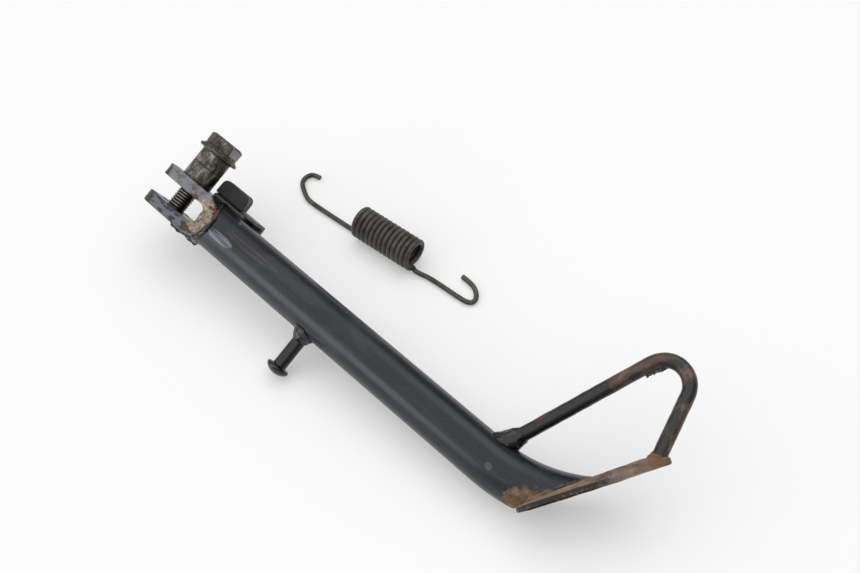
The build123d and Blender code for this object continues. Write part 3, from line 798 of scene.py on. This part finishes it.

# ---------------------------------------------------------------------------------------------
# Sole: a tray pressed from steel plate and welded across the tube's cut end. The paint is gone:
# brown rust, scraped light along the rim. Next to the underside it is painted near black, a painted
# shadow that fades out towards the tip.
# ---------------------------------------------------------------------------------------------
sole = worn_copy("pressed_sole", "sole_plate", 0.42, 18, (8.0, 0.5), (1.5, 0.15))
sole_steel = Finish("rusted_sole_steel", (0.1, 0.06, 0.03), 0.55, 0.25)
drawn_out = sole_steel.along(SOLE_ANGLE, 5.0)
sole_brown, sole_height = sole_steel.tones(230.0, (0.085, 0.052, 0.034), (0.155, 0.110, 0.078),
                                           (0.235, 0.190, 0.150), drawn_out)
sole_steel.layers["Base Color"] = sole_brown
deep = sole_steel.ramp(sole_steel.even_noise(110, 6.0), 0.54, 0.66, 0.0, 0.75)
sole_steel.over(deep, colour=(0.060, 0.030, 0.017), roughness=0.75, metallic=0.1)
# Painted shadow: the band next to the underside is painted near black, fading out towards the tip.
over_face = sole_steel.height_over(SOLE_UP, SOLE_HEEL)
underside = sole_steel.ramp(over_face, MM * 2.5, MM * 2.0)
to_tip = sole_steel.height_over((cos(SOLE_ANGLE), sin(SOLE_ANGLE), 0), SOLE_HEEL)
to_tip = sole_steel.math("MULTIPLY_ADD", sole_steel.even_noise(90), MM * 34.0, to_tip)
painted_shadow_below = sole_steel.both(underside, sole_steel.ramp(to_tip, MM * 78.0, MM * 56.0))
sole_steel.over(painted_shadow_below, colour=(0.016, 0.010, 0.0075), roughness=0.7, metallic=0.1)
tip_rust = sole_steel.patch((314.5, 56.0, 2.0), 8.5, 1.0, 260)
sole_steel.over(tip_rust, colour=(0.135, 0.072, 0.034), roughness=0.75, metallic=0.1)
sole_edges = sole_steel.mask("edges", Grain=350.0, Level=0.60)
sole_steel.over(sole_edges, colour=(0.34, 0.27, 0.21), roughness=0.45, metallic=0.5, share=0.7)
sole_steel.bump(sole_height, 0.2, 0.6)
sole_material = sole_steel.done()
paint(sole, sole_material)

tip_bead = worn_copy("loop_tip_weld_bead", "loop_tip_weld", 0.3, 6, (3.0, 1.2), (1.2, 0.3))
paint(tip_bead, sole_material)

# ---------------------------------------------------------------------------------------------
# Foot loop: steel rod bent once, welded to the tube and to the sole's tip. Black paint on the
# outer run; round the bend and on the way back the paint has worn down to rust, and a torn flake
# of it hangs inside the bend.
# ---------------------------------------------------------------------------------------------
LOOP_R = 4.0
LOOP_START = Vector((251.2, 17.6, 0))
OUT_ANGLE, BACK_ANGLE = radians(67.3), radians(-76.6)
OUT = Vector((cos(OUT_ANGLE), sin(OUT_ANGLE), 0))
BACK = Vector((cos(BACK_ANGLE), sin(BACK_ANGLE), 0))
INWARD = Vector((OUT.y, -OUT.x, 0))
LOOP_CORNER, LOOP_BACK_RUN, LOOP_BEND_R = 120.0, 75.5, 13.0
SUNK_IN_TUBE = 6.0
BEND_STEPS = 24


def rod_route():
    """The rod's (x, y, z, thickness) points: out, round the bend and back to the sole's tip."""
    corner = LOOP_START + OUT * LOOP_CORNER
    half_turn = OUT.angle(BACK) / 2
    cut = LOOP_BEND_R * tan(half_turn)
    start, arc_start = LOOP_START - OUT * SUNK_IN_TUBE, corner - OUT * cut
    arc_end, end = corner + BACK * cut, corner + BACK * LOOP_BACK_RUN
    centre = arc_start + INWARD * LOOP_BEND_R
    points = [start + OUT * step for step in range(int((arc_start - start).length))]
    for step in range(BEND_STEPS):
        turn = Matrix.Rotation(-2 * half_turn * step / (BEND_STEPS - 1), 3, "Z")
        points.append(centre + turn @ (arc_start - centre))
    points += [arc_end + BACK * step for step in range(1, int((end - arc_end).length) + 1)]
    return [(*point, 1.0) for point in points]


def wire(name, route, radius, ring, kind="POLY"):
    """A round bar along (x, y, z, thickness) points in millimetres, as a closed mesh."""
    curve = bpy.data.curves.new(name, "CURVE")
    curve.dimensions = "3D"
    curve.resolution_u = 3
    curve.bevel_depth = MM * radius
    curve.bevel_resolution = ring
    curve.use_fill_caps = True
    spline = curve.splines.new(kind)
    spline.points.add(len(route) - 1)
    for knot, (x, y, z, thickness) in zip(spline.points, route):
        knot.co = (MM * x, MM * y, MM * z, 1)
        knot.radius = thickness
    if kind == "NURBS":
        spline.order_u = 3
        spline.use_endpoint_u = True
    piece = bpy.data.objects.new(name, curve)
    bpy.context.scene.collection.objects.link(piece)
    only(piece)
    bpy.ops.object.convert(target="MESH")
    piece = bpy.context.object
    modify(piece, "WELD", merge_threshold=0.01 * MM)
    return piece


loop = wire("boot_loop", rod_route(), LOOP_R, 7)
settle(loop, lay)
roughen(loop, 7.0, 0.35)
roughen(loop, 1.6, 0.12)
smooth_shaded(loop, 60)
loop_finish = Finish("worn_loop_paint", (0.0045, 0.005, 0.006), 0.22, Specular_IOR_Level=0.45)
loop_dust = loop_finish.mask("specks", Grain=800.0, Share=0.18)
loop_finish.over(loop_dust, colour=(0.14, 0.14, 0.14), roughness=0.7, share=0.4)
along_run = loop_finish.math("ADD", loop_finish.math("MULTIPLY", loop_finish.axis("X"), OUT.x),
                             loop_finish.math("MULTIPLY", loop_finish.axis("Y"), OUT.y))
PAINT_END = MM * (LOOP_START.dot(OUT) + 56.5)
ragged_end = loop_finish.math("MULTIPLY_ADD", loop_finish.even_noise(260), 0.006, along_run)
bare_rod = loop_finish.ramp(ragged_end, PAINT_END + 0.0030, PAINT_END + 0.0036)
rod_rust, rod_height = loop_finish.tones(260.0, (0.034, 0.020, 0.014), (0.066, 0.043, 0.031),
                                         (0.125, 0.096, 0.077), loop_finish.along(OUT_ANGLE, 2.5))
loop_finish.over(bare_rod, colour=rod_rust, roughness=0.36, metallic=0.35)
left_paint = [((281, 81, 4), 2.6, OUT_ANGLE, 1.6), ((292, 96, 3), 4.0, OUT_ANGLE, 2.2),
              ((306.5, 91, 3), 4.0, BACK_ANGLE, 1.6), ((313, 61, 3.5), 3.2, BACK_ANGLE, 3.0),
              ((310, 75, 3.5), 2.0, BACK_ANGLE, 4.0)]
for place, reach, direction, stretch in left_paint:
    island = loop_finish.patch(place, reach, 1.6, 320, direction, stretch)
    loop_finish.over(island, colour=(0.010, 0.010, 0.011), roughness=0.30, metallic=0.0)
red_line = loop_finish.patch((255.0, 34.5, 3.8), 1.5, 1.6, 420, OUT_ANGLE, 4.0)
loop_finish.over(red_line, colour=(0.065, 0.020, 0.012), roughness=0.6)
loop_finish.bump(loop_finish.both(rod_height, bare_rod), 0.35, 0.8)
paint(loop, loop_finish.done())
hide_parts("foot_loop")
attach(loop, "stand")

FLAKE_LENGTH, FLAKE_WIDTH, FLAKE_THICK = 15.0, 3.0, 0.3
FLAKE_UP_ROD, FLAKE_OFF_ROD = 82.0, 4.6
bpy.ops.mesh.primitive_grid_add(x_subdivisions=18, y_subdivisions=4, size=1.0)
flake = bpy.context.object
flake.name = "torn_paint_flake"
flake.scale = (MM * FLAKE_LENGTH, MM * FLAKE_WIDTH, 1.0)
bpy.ops.object.transform_apply(location=True, rotation=True, scale=True)
bpy.ops.object.mode_set(mode="EDIT")
bpy.ops.mesh.select_all(action="SELECT")
bpy.ops.transform.vertex_random(offset=MM * 0.55, uniform=0.4, normal=0.1, seed=5)
bpy.ops.object.mode_set(mode="OBJECT")
modify(flake, "SOLIDIFY", thickness=MM * FLAKE_THICK, offset=0.0)
flake_centre = LOOP_START + OUT * FLAKE_UP_ROD + INWARD * FLAKE_OFF_ROD
flake_turn = Matrix.Rotation(OUT_ANGLE - radians(6.0), 4, "Z") @ Matrix.Rotation(radians(18), 4, "X")
settle(flake, lay @ Matrix.Translation(flake_centre * MM) @ flake_turn)
smooth_shaded(flake, 30)
flake_paint = Finish("lifted_paint", (0.010, 0.010, 0.011), 0.35)
flake_edge = flake_paint.mask("specks", Grain=520.0, Share=0.55)
flake_paint.over(flake_edge, colour=(0.11, 0.10, 0.09), roughness=0.6)
flake_paint.bump(flake_paint.even_noise(600, 3.0), 0.08, 0.6)
paint(flake, flake_paint.done())
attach(flake, "stand")

# ---------------------------------------------------------------------------------------------
# Return spring: one length of dark oiled spring wire, wound close, with a straight arm and a bent
# hook at each end. It lies loose on the table.
# ---------------------------------------------------------------------------------------------
WIRE_R, COIL_SWELL = 1.55, 1.09
COIL_R, COIL_TURNS, COIL_PITCH = 8.5, 13, 3.45
POINTS_PER_TURN = 30
SPRING_CENTRE = (95.3, 76.9)
LEFT_HOOK = [(-72.2, 17.1), (-76.6, 17.0), (-79.2, 14.2), (-79.4, 9.8), (-77.4, 5.9), (-73.6, 3.2),
             (-69.4, 0.4), (-65.4, -1.6), (-60.0, -2.4), (-48.0, -2.7), (-36.0, -2.9), (-28.5, -3.0),
             (-24.5, -2.7)]
RIGHT_HOOK = [(25.6, -5.2), (29.6, -3.6), (35.0, -2.7), (46.0, -2.9), (57.0, -3.2), (63.4, -3.2),
              (66.6, -1.6), (67.0, 1.4), (65.2, 4.8), (61.6, 7.9), (57.0, 9.9), (49.8, 10.7)]
spring_axis = joint_axes["spring_stretch"]


def spring_route():
    """The wire from the tip of one hook, through the coil, to the tip of the other."""
    low = WIRE_R + 0.3
    knots = [(x, y, low, 1.0) for x, y in LEFT_HOOK]
    total = COIL_TURNS * POINTS_PER_TURN
    for step in range(total):
        turn = 2 * pi * step / POINTS_PER_TURN - 0.10
        x = (step / total - 0.5) * COIL_TURNS * COIL_PITCH
        swell = min(COIL_SWELL, 1.0 + step / 100, 1.0 + (total - step) / 100)
        knots.append((x, COIL_R * sin(turn), WIRE_R + 0.14 + COIL_R * (1 - cos(turn)), swell))
    knots += [(x, y, low + max(0.0, 1.6 - 0.4 * (x - 25.6)), 1.0) for x, y in RIGHT_HOOK]
    return knots


spring = wire("return_spring", spring_route(), WIRE_R, 5, "NURBS")
on_ground = Matrix.Translation((MM * SPRING_CENTRE[0], MM * SPRING_CENTRE[1], ground))
settle(spring, on_ground @ Matrix.Rotation(atan2(spring_axis.y, spring_axis.x), 4, "Z"))
smooth_shaded(spring, 60)
spring_steel = Finish("oiled_spring_wire", (0.05, 0.045, 0.035), 0.46, 0.35, along_leg=False)
oily, oil_height = spring_steel.tones(150.0, (0.030, 0.028, 0.023), (0.055, 0.052, 0.043),
                                      (0.095, 0.091, 0.076))
spring_steel.layers["Base Color"] = oily
spring_steel.over(spring_steel.ramp(oil_height, 0.5, 0.7), roughness=0.58)
spring_steel.bump(oil_height, 0.1, 0.6)
paint(spring, spring_steel.done())
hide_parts("spring_coil", "spring_hook_fork_end", "spring_hook_foot_end")
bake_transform(spring)
